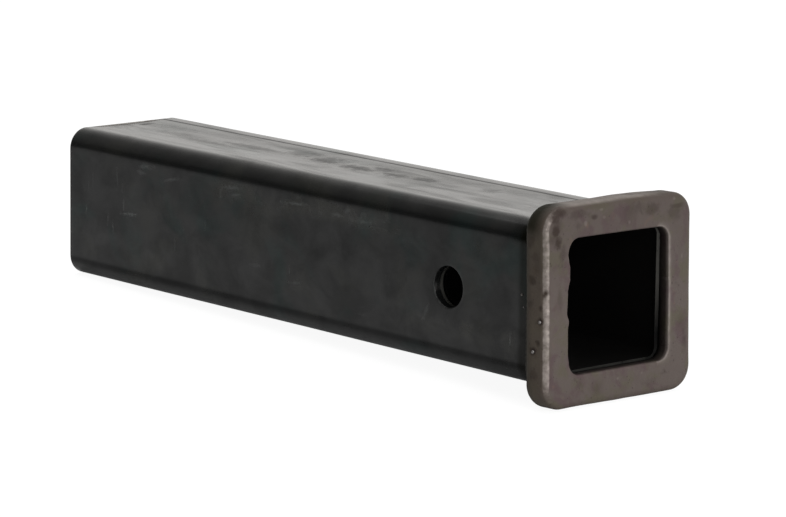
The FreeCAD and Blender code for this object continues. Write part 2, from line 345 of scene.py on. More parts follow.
def tube_shape(tube, collar):
    """The tube as one closed grid of rounded squares carried along X: the outer wall from rear to front, the front
    end, the bore from front to rear and the sawn end. Near the front the bore leans to the near side and up, as a
    sawn end with a burr does. Two blocks of quads on each side wall are left out, and rings that lead from square to
    circle to square fill them. Returns points, quads, material indices and per-point numbers."""
    half, radius = tube.side / 2, tube.outer_corner
    bore, bore_radius = half - tube.wall, tube.inner_corner
    front = tube.hole_setback - collar.lip
    rear = tube.hole_setback - tube.overall
    edge = tube.edge_break * 0.7
    stations = np.concatenate([
        np.linspace(rear + edge, -BLOCK, REAR_STEPS + 1)[:-1],
        np.linspace(-BLOCK, BLOCK, BLOCK_STEPS + 1)[:-1],
        np.linspace(BLOCK, front - edge, FRONT_STEPS + 1),
    ])
    burr = BURR * np.exp((stations[::-1] - front) / BURR_REACH)
    outer_edge, inner_edge = (half - edge, radius - edge), (bore + edge, bore_radius + edge)
    front_in = rounding(front - edge, *inner_edge, edge, 0.0, -QUARTER, EDGE_STEPS)
    front_in[:, 3] = -BURR
    sections = (
        (WALL, np.stack(np.broadcast_arrays(stations, half, radius, 0.0), axis=1)),
        (CUT_END, rounding(front - edge, *outer_edge, edge, QUARTER, -QUARTER, EDGE_STEPS)[1:]),
        (CUT_END, run([front, *outer_edge, 0.0], [front, *inner_edge, -BURR], FACE_STEPS)),
        (CUT_END, front_in),
        (BORE, np.stack(np.broadcast_arrays(stations[::-1], bore, bore_radius, -burr), axis=1)),
        (SAWN, rounding(rear + edge, *inner_edge, edge, -QUARTER, -QUARTER, EDGE_STEPS)[1:]),
        (SAWN, run([rear, *inner_edge, 0.0], [rear, *outer_edge, 0.0], FACE_STEPS)),
        (SAWN, rounding(rear + edge, *outer_edge, edge, 2 * QUARTER, -QUARTER, EDGE_STEPS)),
    )
    rows = np.concatenate([section for _, section in sections])
    finish = np.concatenate([np.full(len(section), kind) for kind, section in sections])
    bore_first = int(np.argmax(finish == BORE))
    bore_last = bore_first + len(stations) - 1
    # An end takes the quads on both of its sides.
    finish = np.where(np.isin(finish, (SAWN, CUT_END)), finish, np.roll(finish, -1))
    share = BLOCK / (half - radius)
    along = np.concatenate([
        np.linspace(-1.0, -share, SIDE_STEPS + 1)[1:],
        np.linspace(-share, share, BLOCK_STEPS + 1)[1:],
        np.linspace(share, 1.0, SIDE_STEPS + 1)[1:],
    ])
    grid = square_rings(rows, square_columns(along, CORNER_STEPS))
    grid[:, :, 2] -= BURR_LIFT * rows[:, 3, None]
    ring_count, column_count = grid.shape[:2]
    keep = np.ones((ring_count, column_count), dtype=bool)

    outer_rings = REAR_STEPS + np.arange(BLOCK_STEPS + 1)
    inner_rings = bore_last - outer_rings
    side_columns = len(along) + CORNER_STEPS
    points, faces = [grid.reshape(-1, 3)], []
    for first in (SIDE_STEPS - 1, 2 * side_columns + SIDE_STEPS - 1):
        block_columns = first + np.arange(BLOCK_STEPS + 1)
        if grid[0, block_columns[0], 2] > grid[0, block_columns[-1], 2]:
            block_columns = block_columns[::-1]
        for rings in (outer_rings, inner_rings):
            keep[np.ix_(np.sort(rings)[:-1], np.sort(block_columns)[:-1])] = False
        loop_out, loop_in = hole_loop(outer_rings, block_columns), hole_loop(inner_rings, block_columns)
        fill = hole_rings(grid[loop_out], grid[loop_in], tube.hole_radius, tube.edge_break)
        new = sum(map(len, points)) + np.arange(fill[..., 0].size).reshape(fill.shape[:2])
        start, stop = (ring * column_count + column for ring, column in (loop_out, loop_in))
        index = np.concatenate([start[None], new, stop[None]])
        shifted = np.roll(index, -1, axis=1)
        points.append(fill.reshape(-1, 3))
        faces.append(np.stack([index[:-1], shifted[:-1], shifted[1:], index[1:]], axis=2).reshape(-1, 4))

    points, hole_faces = np.concatenate(points), np.concatenate(faces)
    quads = np.concatenate([ring_faces(ring_count, column_count)[keep], hole_faces])
    hole_depth = np.abs(points[hole_faces, 1]).mean(axis=1)
    hole_finish = np.where(hole_depth < bore + tube.edge_break, BORE, WALL)
    material_index = np.concatenate([np.broadcast_to(finish[:, None], keep.shape)[keep], hole_finish])
    numbers = tube_numbers(points, tube, front, rear)
    sink_top(points, tube, front)
    return points, quads, material_index, numbers


def sink_top(points, tube, front):
    """Sinks the top wall by a parabola across its flat, which fades out towards the front."""
    x, y, z = points.T / MM
    flat = (tube.side / 2 - tube.outer_corner) / MM
    on_top = (z > tube.side / 2 / MM - 0.1) & (np.abs(y) < flat)
    fade = rise(x, front / MM - 12.0, front / MM - 42.0)
    points[:, 2] -= np.where(on_top, tube.sag * fade * (1.0 - (y / flat) ** 2), 0.0)


def tube_numbers(points, tube, front, rear):
    """Per-point numbers that the tube's materials read, from places in mm: edge is wear along the sawn and drilled
    edges, strongest low behind the hole, depth is the share of the wall's thickness inside the pin hole, under marks
    the bottom wall, whose lower gloss is painted shade, and dim is painted shade on the far and low parts of the
    front end."""
    x, y, z = points.T / MM
    half, wall, flat = tube.side / 2 / MM, tube.wall / MM, (tube.side / 2 - tube.outer_corner) / MM
    rear_edge = np.where(y < -30.0, 0.3, 1.0) * bell(x - rear / MM, 0.9)
    hole_gap = np.hypot(x, z) - (tube.hole_radius + tube.edge_break / 2) / MM
    depth = half - np.abs(y)
    lower_rear = 0.5 + 0.5 * np.cos(np.arctan2(z, x) - math.radians(212.0))
    hole_edge = (0.30 + 0.70 * lower_rear**2) * bell(hole_gap, 0.45) * bell(depth, 0.4)
    in_hole = (hole_gap < 0.1) & (depth > 0.2) & (depth < wall)
    far_shade = np.where(y > 20.0, 0.7 * rise(z, 4.0, -14.0), 0.0)
    low_shade = 0.45 * rise(z, -20.0, -23.0)
    return {
        "edge": np.maximum(rear_edge, hole_edge),
        "depth": np.where(in_hole, depth / wall, 0.0),
        "under": np.where((z < -flat - 0.1) & (np.abs(y) < half + 0.1), 1.0, 0.0),
        "dim": np.where(x > front / MM - 1.0, np.maximum(far_shade, low_shade), 0.0),
    }


# How far the mouth's near edge juts into the opening at each height, in mm from the collar's middle.
RAGGED_EDGE = np.array([
    [-24.0, 0.0],
    [-21.0, 0.3],
    [-18.5, -0.05],
    [-8.0, -0.05],
    [-6.2, 0.45],
    [-4.6, 0.3],
    [-2.4, -0.45],
    [1.5, -0.15],
    [6.4, -0.1],
    [8.6, 0.5],
    [10.6, 1.1],
    [15.6, 1.15],
    [20.0, 0.1],
    [24.0, 0.0],
])
# Dents in the collar: x, y, z, reach and depth, in mm.
DENTS = np.array([
    [61.06, -38.07, 6.9, 0.9, 0.60],
    [60.34, -38.57, 5.58, 0.8, 0.45],
    [58.91, -38.9, -4.31, 1.3, 0.22],
    [55.25, -38.9, -16.11, 1.4, 0.22],
    [59.06, -38.9, 1.0, 0.7, 0.20],
    [54.75, -38.9, 11.15, 0.8, 0.20],
    [57.77, -38.89, -12.43, 0.7, 0.20],
    [62.0, -35.2, 26.8, 1.8, 0.30],
    [62.0, -33.0, 31.3, 2.2, 0.35],
    [57.0, -38.9, 16.0, 2.4, 0.20],
    [62.0, 5.0, 33.0, 3.5, 0.22],
    [62.0, 33.0, -12.0, 3.0, 0.18],
    [62.0, -12.0, -33.0, 2.8, 0.20],
    [56.0, 10.0, 38.9, 3.0, 0.25],
    [55.0, 38.9, 5.0, 3.2, 0.25],
])
# How far the mouth's edges stand inside the opening's size, and its centre to the near side.
NARROW = 0.28 * MM


def collar_middle(tube):
    """The point in the middle of the collar that it turns about and that its dents push towards."""
    return np.array([tube.hole_setback - 6.0 * MM, 0.0, 0.0])


def collar_shape(tube, collar):
    """The collar as one closed grid of rounded squares: rear face, rear rounding, side, front rounding, front face,
    mouth rounding, mouth, back of the lip and seat. The mouth's centre sits a little towards the near side. Noise
    swells it as a hammer does, the mouth's near edge is ragged, dents push points in by a bell curve, and another two
    bell curves raise the middle of the top and lower its far end."""
    half, radius = collar.side / 2, collar.corner
    front = tube.hole_setback
    rear = front - collar.depth
    lip = front - collar.lip
    big, small, rim = collar.front_round, collar.rear_round, collar.mouth_round
    mouth = [collar.mouth / 2 - NARROW, collar.mouth_corner, -NARROW]
    mouth_edge = [mouth[0] + rim, mouth[1] + rim, -NARROW]
    seat = [collar.seat / 2, tube.outer_corner + (collar.seat - tube.side) / 2, 0.0]
    sections = [
        run([rear, *seat], [rear, half - small, radius - small, 0.0], 6),
        rounding(rear + small, half - small, radius - small, small, 2 * QUARTER, -QUARTER, 7),
        run([rear + small, half, radius, 0.0], [front - big, half, radius, 0.0], 12),
        rounding(front - big, half - big, radius - big, big, QUARTER, -QUARTER, 14),
        run([front, half - big, radius - big, 0.0], [front, *mouth_edge], 14),
        rounding(front - rim, *mouth_edge[:2], rim, 0.0, -QUARTER, 7),
        run([front - rim, *mouth], [lip, *mouth], 6),
        run([lip, *mouth], [lip, *seat], 5),
        run([lip, *seat], [rear, *seat], 6),
    ]
    rows = np.concatenate(sections)
    first = np.cumsum([0] + [len(section) for section in sections])
    front_first, face_first, rim_first, back_first = first[3], first[4], first[5], first[7]
    grid = square_rings(rows, square_columns(np.linspace(-1.0, 1.0, 61)[1:], 18))
    quads = ring_faces(*grid.shape[:2]).reshape(-1, 4)
    ring = np.repeat(np.arange(len(rows)), grid.shape[1])
    points = grid.reshape(-1, 3)
    x, y, z = points.T / MM
    turned = rise(ring, front_first, face_first)
    numbers = collar_numbers(x - front / MM, y, z, ring - rim_first, turned, collar)

    outside = np.where(ring < rim_first, 1.0, 0.0)
    swells = (ring < rim_first) | ((x > lip / MM - 0.1) & (ring <= back_first))
    shaped = swell(swell(points, 19.0 * MM, 0.16 * MM, 11), 6.0 * MM, 0.055 * MM, 23)
    points = np.where(swells[:, None], shaped, points)

    x, y, z = points.T / MM
    near_edge = np.where((ring < back_first) & (y < -22.0), rise(ring, rim_first - 7, rim_first - 1), 0.0)
    jut = np.interp(z, *RAGGED_EDGE.T) - 0.5 + 0.08 * smooth_noise(points * [0.0, 0.0, 1.0], 1.7 * MM, 31)
    points[:, 1] += near_edge * jut * MM * rise(np.abs(z), 23.5, 19.5)

    away = np.linalg.norm(points[:, None, :] / MM - DENTS[:, :3], axis=2)
    # The dent number also sets the painted shade in the dents.
    numbers["dent"] = (DENTS[:, 4] * bell(away, DENTS[:, 3])).sum(axis=1)
    inward = points - collar_middle(tube)
    steep = np.abs(inward / [collar.depth / 2, half, half]) ** 8
    direction = -np.sign(inward) * steep / steep.sum(axis=1, keepdims=True)
    points = points + direction * (numbers["dent"] * outside)[:, None] * MM
    x, y, z = points.T / MM
    crown = 0.40 * bell(y - 6.0, 14.0) - 0.32 * bell(y - 28.0, 7.0)
    points[:, 2] += crown * MM * outside * rise(z, 32.0, 38.0)
    return points, quads, numbers


def collar_numbers(x, y, z, past_rim, turned, collar):
    """Per-point numbers that the collar's material reads. x is in mm from the front face and y and z are in mm, the
    ring is counted from the mouth's rounding, and turned is 0 to 1 over the front rounding. edge is the rubbed front
    edge, partly worn metal and partly a painted highlight, strongest on the near side, lit is a painted highlight on
    the far rim and the upper edge, side is 1 on the sides and 0 on the front, soot is partly soot and partly painted
    shade, behind and at the near top, and inside is painted shade that grows into the mouth."""
    # The rubbed edge is partly worn metal and partly a painted highlight, strongest on the near side and weaker low
    # down.
    band = rise(turned, 0.16, 0.30) * rise(turned, 0.94, 0.78)
    worn = band * (0.42 + 0.58 * rise(y, -30.0, -36.0)) * (0.55 + 0.45 * rise(z, -36.0, -26.0))
    # Painted highlights: the mouth's far rim and the upper front edge.
    far_rim_highlight = np.where(y > 20.0, bell(past_rim - 2.5, 2.5), 0.0) * (0.6 + 0.4 * rise(z, -20.0, -4.0))
    upper = rise(z, 35.5, 37.5) * rise(y, 24.0, 12.0) * rise(y, -31.0, -23.0) * rise(turned, 0.55, 0.25)
    behind = -collar.depth / MM - x
    near_top_soot_and_shade = rise(y, -23.0, -29.0) * rise(z, 26.0, 31.0)
    return {
        "edge": worn,
        "lit": np.maximum(1.25 * far_rim_highlight, 1.3 * upper),
        "side": 1.0 - turned,
        "soot": np.maximum(0.5 * rise(behind, -5.5, -1.5), near_top_soot_and_shade * rise(behind, -11.0, -6.0)),
        # inside is painted shade, darker deeper into the mouth.
        "inside": rise(past_rim, 2, 6) * (0.38 + 0.62 * rise(-x, 0.0, collar.lip / MM) ** 0.7),
    }


def seat_collar(points, tube):
    """Turns and shifts the collar by the degree or so, and the half millimetre, that it was welded out of true."""
    turn = Matrix.Identity(3)
    for axis, degrees in (("Z", -0.4476), ("Y", -1.6757), ("X", -0.1303)):
        turn = turn @ Matrix.Rotation(math.radians(degrees), 3, axis)
    centre = collar_middle(tube)
    return (points - centre) @ np.array(turn).T + centre + np.array([0.0, 0.195, 0.485]) * MM


def weld_shape(tube, collar):
    """The bead as one closed grid of rounded squares. Its section is a triangle in the corner between tube and
    collar, with an arc for its face, carried round the tube. The face rises and falls by a cosine of the length
    along the bead, which lags towards the toes, so the ripples are crescents. Smooth noise varies its toes."""
    half, radius = tube.side / 2, tube.outer_corner
    leg, climb = collar.weld_leg, collar.weld_rise
    corner = tube.hole_setback - collar.depth
    sink = 0.35 * MM
    steps = 13
    t = np.linspace(0.0, 1.0, steps)
    crown = collar.weld_crown * 4.0 * t * (1.0 - t)
    back, up = np.array([climb, leg]) / math.hypot(climb, leg)
    lift = climb * t + crown * up
    face = np.stack([corner - leg * (1.0 - t) - crown * back, half + lift, radius + lift, np.zeros(steps)], axis=1)
    foot = np.array([
        [corner + sink, half + climb, radius + climb, 0.0],
        [corner + sink, half - sink, radius - sink, 0.0],
        [corner - leg, half - sink, radius - sink, 0.0],
    ])
    rows = np.concatenate([face, foot])
    columns = square_columns(np.linspace(-1.0, 1.0, 101)[1:], 36)
    grid = square_rings(rows, columns)
    middle = grid[steps // 2]
    gaps = np.linalg.norm(np.diff(middle, axis=0, append=middle[:1]), axis=1)
    along = np.concatenate([[0.0], np.cumsum(gaps)[:-1]]) / gaps.sum()
    ripples = round(gaps.sum() / collar.ripple)
    arch = np.sin(np.pi * t)[:, None]
    lag = 1.1 * (2.0 * t - 1.0) ** 2
    cosine = np.cos(2.0 * np.pi * ripples * along[None, :] + lag[:, None] * np.pi)
    height = 0.13 * MM * cosine * arch**0.5
    out = np.stack([np.full(grid.shape[1], -back), columns[1][:, 0] * up, columns[1][:, 1] * up], axis=1)
    grid[:steps] += height[:, :, None] * out
    points = grid.reshape(-1, 3)
    wobble = smooth_noise(points, 5.0 * MM, 41) + 0.6 * smooth_noise(points, 2.1 * MM, 43)
    on_face = np.repeat(np.arange(len(rows)) < steps, grid.shape[1])
    points[:, 0] += np.where(on_face, 0.08 * MM * wobble, 0.0)
    crest = np.concatenate([(arch**3 * (0.5 + 0.5 * cosine)).ravel(), np.zeros(len(foot) * grid.shape[1])])
    # The near side keeps no crests, so the whole bead there takes the soot colour, partly as painted shade beside the
    # collar.
    crest *= rise(points[:, 1] / MM, -33.0, -30.0)
    return points, ring_faces(*grid.shape[:2]).reshape(-1, 4), crest


def ball_shape(balls, around, upward):
    """Drops of spatter. Each is a sphere of its own radius about its own point: (cos u cos v, sin u cos v, sin v)
    times the radius, with the poles as single points, and joined to its neighbours in one list."""
    u = np.linspace(0.0, 2.0 * np.pi, around, endpoint=False)
    v = np.linspace(-QUARTER, QUARTER, upward + 1)[1:-1, None]
    unit = np.stack(np.broadcast_arrays(np.cos(u) * np.cos(v), np.sin(u) * np.cos(v), np.sin(v)), axis=2).reshape(-1, 3)
    ball = np.concatenate([unit, [[0.0, 0.0, -1.0], [0.0, 0.0, 1.0]]])
    ring, column = np.meshgrid(np.arange(upward - 2), np.arange(around), indexing="ij")
    beside = (column + 1) % around
    here, above = ring * around, (ring + 1) * around
    body = np.stack([here + column, here + beside, above + beside, above + column], axis=2).reshape(-1, 4)
    first = np.arange(0, around, 2)
    fan = np.stack([first, (first + 2) % around, (first + 1) % around, first], axis=1)
    bottom, top = fan.copy(), fan + (upward - 2) * around
    bottom[:, 0], top[:, 0] = len(unit), len(unit) + 1
    faces = np.concatenate([body, bottom, top[:, ::-1]])
    points = balls[:, None, :3] + ball[None] * balls[:, None, 3:4]
    index = faces[None] + (np.arange(len(balls)) * len(ball))[:, None, None]
    return points.reshape(-1, 3), index.reshape(-1, 4)


# ---------------------------------------------------------------- shaders


def by_node(operation):
    """The two methods that give a Value a sign: with the value first, and with the value last."""
    return (
        lambda self, other: calculate(operation, self, other),
        lambda self, other: calculate(operation, other, self),
    )


class Value:
    """A number, vector or colour that comes out of a shader node. A formula of values adds the nodes for it."""

    __add__, __radd__ = by_node("ADD")
    __sub__, __rsub__ = by_node("SUBTRACT")
    __mul__, __rmul__ = by_node("MULTIPLY")
    __truediv__, __rtruediv__ = by_node("DIVIDE")

    def __init__(self, socket):
        self.socket = socket

    def __abs__(self):
        return calculate("ABSOLUTE", self)


def feed(node, inputs):
    """Gives inputs of a node their values: a Value by a link, or a plain number, vector or colour."""
    for name, value in inputs.items():
        socket = node.inputs[name]
        if isinstance(value, Value):
            node.id_data.links.new(value.socket, socket)
        elif socket.type == "RGBA" and len(value) == 3:
            socket.default_value = (*value, 1.0)
        else:
            socket.default_value = value


def outputs_of(node):
    return {output.name: Value(output) for output in node.outputs if output.name}


def from_node(kind, inputs, output=0, tree=None, **fields):
    """Adds a node with its fields and inputs and returns one of its outputs. The tree can be left out where a Value
    feeds the node."""
    tree = tree or next(value.socket.id_data for value in inputs.values() if isinstance(value, Value))
    node = tree.nodes.new(kind)
    for field, value in fields.items():
        setattr(node, field, value)
    feed(node, inputs)
    return Value(node.outputs[output])


def calculate(operation, *terms):
    """A step of arithmetic, on vectors if one of the terms is a Value that is a vector."""
    is_vector = any(isinstance(term, Value) and term.socket.type == "VECTOR" for term in terms)
    kind = "ShaderNodeVectorMath" if is_vector else "ShaderNodeMath"
    output = "Value" if operation in ("LENGTH", "DOT_PRODUCT") else 0
    return from_node(kind, dict(enumerate(terms)), output, operation=operation)


def clamped(value):
    """The same value, held between 0 and 1."""
    value.socket.node.use_clamp = True
    return value


def any_of(most, *masks):
    """The largest of several masks."""
    for mask in masks:
        most = calculate("MAXIMUM", most, mask)
    return most


def parts_of(vector):
    """A vector's X, Y and Z."""
    return outputs_of(from_node("ShaderNodeSeparateXYZ", {"Vector": vector}).socket.node).values()


def blend(factor, first, second):
    """The first colour where the factor is 0, and the second where it is 1."""
    return from_node("ShaderNodeMix", {0: factor, 6: first, 7: second}, 2, data_type="RGBA")


def layered(base, *layers):
    """A colour under layers, each of them a mask and a colour."""
    for mask, shade in layers:
        base = blend(mask, base, shade)
    return base


def ramp(value, low, high):
    """A smooth step from 0 at low to 1 at high."""
    inputs = {"Value": value, "From Min": low, "From Max": high}
    return from_node("ShaderNodeMapRange", inputs, "Result", interpolation_type="SMOOTHSTEP", clamp=True)


def noise(vector, scale, detail, roughness=0.5, distortion=0.0):
    inputs = {"Vector": vector, "Scale": scale, "Detail": detail, "Roughness": roughness, "Distortion": distortion}
    return from_node("ShaderNodeTexNoise", inputs, "Fac")


FLOAT, VECTOR, COLOUR = "NodeSocketFloat", "NodeSocketVector", "NodeSocketColor"
ORIGIN = (0.0, 0.0, 0.0)
GREY = (0.1, 0.1, 0.1, 1.0)


def new_group(name, inputs, outputs):
    """A shader node group with named inputs, whose kinds follow from their defaults, and named outputs. Returns its
    input values by name and its output node."""
    tree = bpy.data.node_groups.new(name, "ShaderNodeTree")
    for label, default in inputs.items():
        kind = {1: FLOAT, 3: VECTOR, 4: COLOUR}[np.size(default)]
        tree.interface.new_socket(label, in_out="INPUT", socket_type=kind).default_value = default
    for label, kind in outputs.items():
        tree.interface.new_socket(label, in_out="OUTPUT", socket_type=kind)
    return outputs_of(tree.nodes.new("NodeGroupInput")), tree.nodes.new("NodeGroupOutput")


def patches_group(name):
    """Soft, irregular patches of two other colours over a first one."""
    inputs = {"Vector": ORIGIN, "Scale": 60.0, "Base": GREY, "Second": GREY, "Third": GREY, "Cover": 0.5}
    start, end = new_group(name, inputs, {"Color": COLOUR})
    vector, scale = start["Vector"], start["Scale"]
    one = noise(vector, scale, 5.0, 0.55, 0.6)
    two = noise(vector + (3.7, 1.3, 8.1), scale, 5.0, 0.6, 0.3)
    low = 1.0 - start["Cover"]
    high = low + 0.16
    layers = (ramp(one, low, high), start["Second"]), (ramp(two, low, high), start["Third"])
    feed(end, {"Color": layered(start["Base"], *layers)})


def grain_group(name):
    """Fine grain and shallow pits of a scaled surface: a height, and a mask of the pits."""
    inputs = {"Vector": ORIGIN, "Scale": 900.0, "Pit share": 0.25}
    start, end = new_group(name, inputs, {"Height": FLOAT, "Pits": FLOAT})
    vector, scale = start["Vector"], start["Scale"]
    fine = noise(vector, scale, 4.0, 0.6)
    slow = noise(vector, scale * 0.16, 3.0, 0.5)
    sockets = {"Vector": vector, "Scale": scale * 0.3, "Randomness": 1.0}
    away = from_node("ShaderNodeTexVoronoi", sockets, "Distance")
    size = start["Pit share"] * noise(vector, scale * 0.1, 2.0)
    pit = 1.0 - ramp(away, size * 0.3, size)
    feed(end, {"Height": fine * 0.35 + slow * 0.65 - pit * 0.8, "Pits": pit})


def scuffs_group(name):
    """Short fine scuffs, drawn out along the vector's X and broken into groups."""
    inputs = {"Vector": ORIGIN, "Stretch": (60.0, 900.0, 900.0), "Cover": 0.3}
    start, end = new_group(name, inputs, {"Mask": FLOAT})
    lines = ramp(noise(start["Vector"] * start["Stretch"], 1.0, 3.0, 0.65), 0.58, 0.72)
    broken = ramp(noise(start["Vector"], 55.0, 3.0, 0.6), 0.75 - start["Cover"], 0.75)
    feed(end, {"Mask": lines * broken})


def wear_group(name):
    """Rubbed edges: the piece's own edge number, broken up by noise."""
    inputs = {"Vector": ORIGIN, "Edge": 0.0, "Amount": 0.5, "Scale": 300.0}
    start, end = new_group(name, inputs, {"Mask": FLOAT})
    coarse = noise(start["Vector"], start["Scale"], 4.0, 0.6)
    feed(end, {"Mask": ramp(start["Edge"] * (start["Amount"] + coarse * 0.9), 0.35, 0.95)})


def scratch_group(name):
    """One scraped mark on a side wall: a soft bar about a centre, turned in the X and Z directions, with a broken
    edge."""
    inputs = {"Vector": ORIGIN, "Centre": ORIGIN, "Turn": 0.0}
    inputs.update({"Half length": 0.003, "Half width": 0.0004, "Strength": 1.0})
    start, end = new_group(name, inputs, {"Mask": FLOAT})
    sockets = {"Vector": start["Vector"] - start["Centre"], "Axis": (0.0, 1.0, 0.0), "Angle": start["Turn"]}
    x, y, z = parts_of(from_node("ShaderNodeVectorRotate", sockets, rotation_type="AXIS_ANGLE"))
    ragged = (noise(start["Vector"], 800.0, 3.0, 0.65) - 0.5) * 2.6
    lengthwise, crosswise = x / start["Half length"], z / start["Half width"]
    far = calculate("SQRT", lengthwise * lengthwise + crosswise * crosswise)
    bar = 1.0 - ramp(far + ragged, 0.1, 1.2)
    near = calculate("LESS_THAN", abs(y), 0.0012)
    feed(end, {"Mask": bar * (near * start["Strength"])})


def smudge_group(name):
    """One soft smudge: 1 about a centre, falling to 0 at a reach along each axis, with an uneven edge."""
    inputs = {"Vector": ORIGIN, "Centre": ORIGIN, "Reach": (0.01, 0.01, 0.01), "Strength": 1.0}
    start, end = new_group(name, inputs, {"Mask": FLOAT})
    far = calculate("LENGTH", (start["Vector"] - start["Centre"]) / start["Reach"])
    ragged = (noise(start["Vector"], 320.0, 4.0, 0.6) - 0.5) * 1.8
    spot = 1.0 - ramp(far + ragged, 0.25, 1.15)
    feed(end, {"Mask": spot * start["Strength"]})


GROUPS = {
    "Scale patches": patches_group,
    "Scale grain": grain_group,
    "Scuffs": scuffs_group,
    "Edge wear": wear_group,
    "Scrape mark": scratch_group,
    "Smudge": smudge_group,
}


def use_group(name, vector, **sockets):
    """Places a node group, which is built the first time it is asked for, and returns its outputs by name. A space
    in a socket's name is written as an underscore."""
    if name not in bpy.data.node_groups:
        GROUPS[name](name)
    inputs = {"Vector": vector, **{label.replace("_", " "): value for label, value in sockets.items()}}
    return outputs_of(from_node("ShaderNodeGroup", inputs, node_tree=bpy.data.node_groups[name]).socket.node)


def patched(vector, scale, cover, base, second, third):
    """A colour with patches of two others."""
    return use_group("Scale patches", vector, Scale=scale, Cover=cover, Base=base, Second=second, Third=third)["Color"]


def grained(vector, scale, pit_share):
    """A height of fine grain, and a mask of its pits."""
    return use_group("Scale grain", vector, Scale=scale, Pit_share=pit_share).values()


def empty_tree(owner):
    owner.use_nodes = True
    owner.node_tree.nodes.clear()
    return owner.node_tree


def new_material(name, tilt):
    """A material and its principled surface, its tree, and Object coordinates turned back into the tube's own
    straight frame."""
    material = bpy.data.materials.new(name)
    tree = empty_tree(material)
    surface = tree.nodes.new("ShaderNodeBsdfPrincipled")
    feed(tree.nodes.new("ShaderNodeOutputMaterial"), {"Surface": Value(surface.outputs["BSDF"])})
    place = from_node("ShaderNodeTexCoord", {}, "Object", tree)
    sockets = {"Vector": place, "Rotation": (0.0, tilt, 0.0)}
    return material, surface, tree, from_node("ShaderNodeMapping", sockets, "Vector", vector_type="POINT")


def piece_number(tree, name):
    return from_node("ShaderNodeAttribute", {}, "Fac", tree, attribute_name=name)


def bumps(height, distance):
    """The normal of a surface whose height goes up to a distance in metres."""
    return from_node("ShaderNodeBump", {"Height": height, "Distance": distance, "Strength": 1.0}, "Normal")


# Scraped marks on the near side wall: middle along X and Z, turn, half length, half width and strength, in mm and
# degrees.
SCRAPES = (
    (-205.0, 3.4, 88.0, 3.4, 0.6, 0.85),
    (-201.0, 0.4, 5.0, 6.6, 0.9, 1.0),
    (-231.0, -1.4, 80.0, 2.4, 0.6, 0.8),
    (-216.0, -3.8, 84.0, 2.6, 0.5, 0.7),
    (-212.5, -6.4, 98.0, 2.6, 0.6, 0.7),
    (-209.5, 15.0, 96.0, 5.0, 0.6, 0.4),
    (-206.0, 11.0, 88.0, 3.6, 0.5, 0.35),
    (-226.5, 11.0, 90.0, 4.5, 0.4, 0.45),
    (-229.5, 9.0, 90.0, 4.0, 0.4, 0.4),
    (-190.0, 22.3, 8.0, 5.6, 1.3, 0.75),
    (-193.0, 19.4, -4.0, 3.2, 1.0, 0.6),
    (-172.0, 19.0, 10.0, 6.6, 0.9, 0.6),
    (-133.0, 21.0, 6.0, 6.0, 0.9, 0.75),
    (-130.0, 18.3, 8.0, 4.0, 0.9, 0.6),
    (-140.0, 17.0, 80.0, 3.0, 0.9, 0.4),
    (-93.0, 19.9, 4.0, 8.5, 0.9, 0.8),
    (-66.0, 19.0, 2.0, 4.2, 0.8, 0.6),
    (-60.0, 21.6, 30.0, 2.6, 1.2, 0.5),
    (-50.0, 18.4, 4.0, 6.6, 1.0, 0.6),
    (-95.5, -8.0, 90.0, 2.2, 0.5, 0.6),
    (-92.0, -12.5, 6.0, 5.0, 0.7, 0.4),
    (-117.0, -9.0, 4.0, 5.5, 0.9, 0.35),
    (-170.0, -8.0, 88.0, 3.0, 0.6, 0.4),
    (-150.0, 3.0, 86.0, 3.4, 0.5, 0.35),
    (-13.0, -12.0, 64.0, 4.5, 1.0, 0.5),
    (35.3, -15.2, 90.0, 2.8, 0.6, 1.0),
)
# Darker smudges on the near side wall: middle along X and Z, reach along X and Z in mm, and strength.
DARK_SMUDGES = (
    (-60.6, 0.8, 6.0, 13.0, 0.8),
    (-77.0, 2.5, 5.5, 6.0, 0.6),
    (-102.0, 9.0, 8.0, 7.0, 0.6),
    (-126.0, 12.0, 9.0, 5.0, 0.5),
    (-30.0, 10.0, 6.0, 8.0, 0.5),
    (-1.7, 15.1, 7.0, 8.0, 0.75),
    (27.0, -4.0, 11.0, 12.0, 0.7),
    (20.0, -12.0, 8.0, 5.0, 0.5),
    (-202.0, -14.3, 9.0, 8.0, 0.5),
    (-208.0, -2.0, 7.0, 12.0, 0.45),
    (-165.0, -8.0, 10.0, 10.0, 0.5),
    (-141.0, 0.0, 8.0, 13.0, 0.35),
    (-225.0, -19.0, 14.0, 4.0, 0.4),
    (-135.0, -16.0, 12.0, 5.0, 0.4),
)
# Paler, dusty smudges on the near side wall, in the same way.
PALE_SMUDGES = (
    (11.0, -15.2, 5.0, 5.5, 1.0),
    (35.0, -16.5, 6.0, 7.0, 0.8),
    (-12.0, -16.0, 14.0, 5.0, 0.5),
    (24.0, 17.0, 12.0, 6.0, 0.45),
    (-28.0, -2.0, 5.0, 14.0, 0.45),
    (-44.1, 18.9, 5.0, 4.0, 0.5),
    (-112.0, 17.0, 22.0, 6.0, 0.55),
    (-70.0, 19.5, 20.0, 4.5, 0.6),
    (-200.0, 9.0, 9.0, 9.0, 0.3),
    (-178.0, 8.0, 12.0, 9.0, 0.35),
    (-229.0, -18.0, 8.0, 6.0, 0.6),
    (-188.0, -18.0, 20.0, 5.0, 0.35),
    (-95.0, -12.0, 16.0, 8.0, 0.35),
)
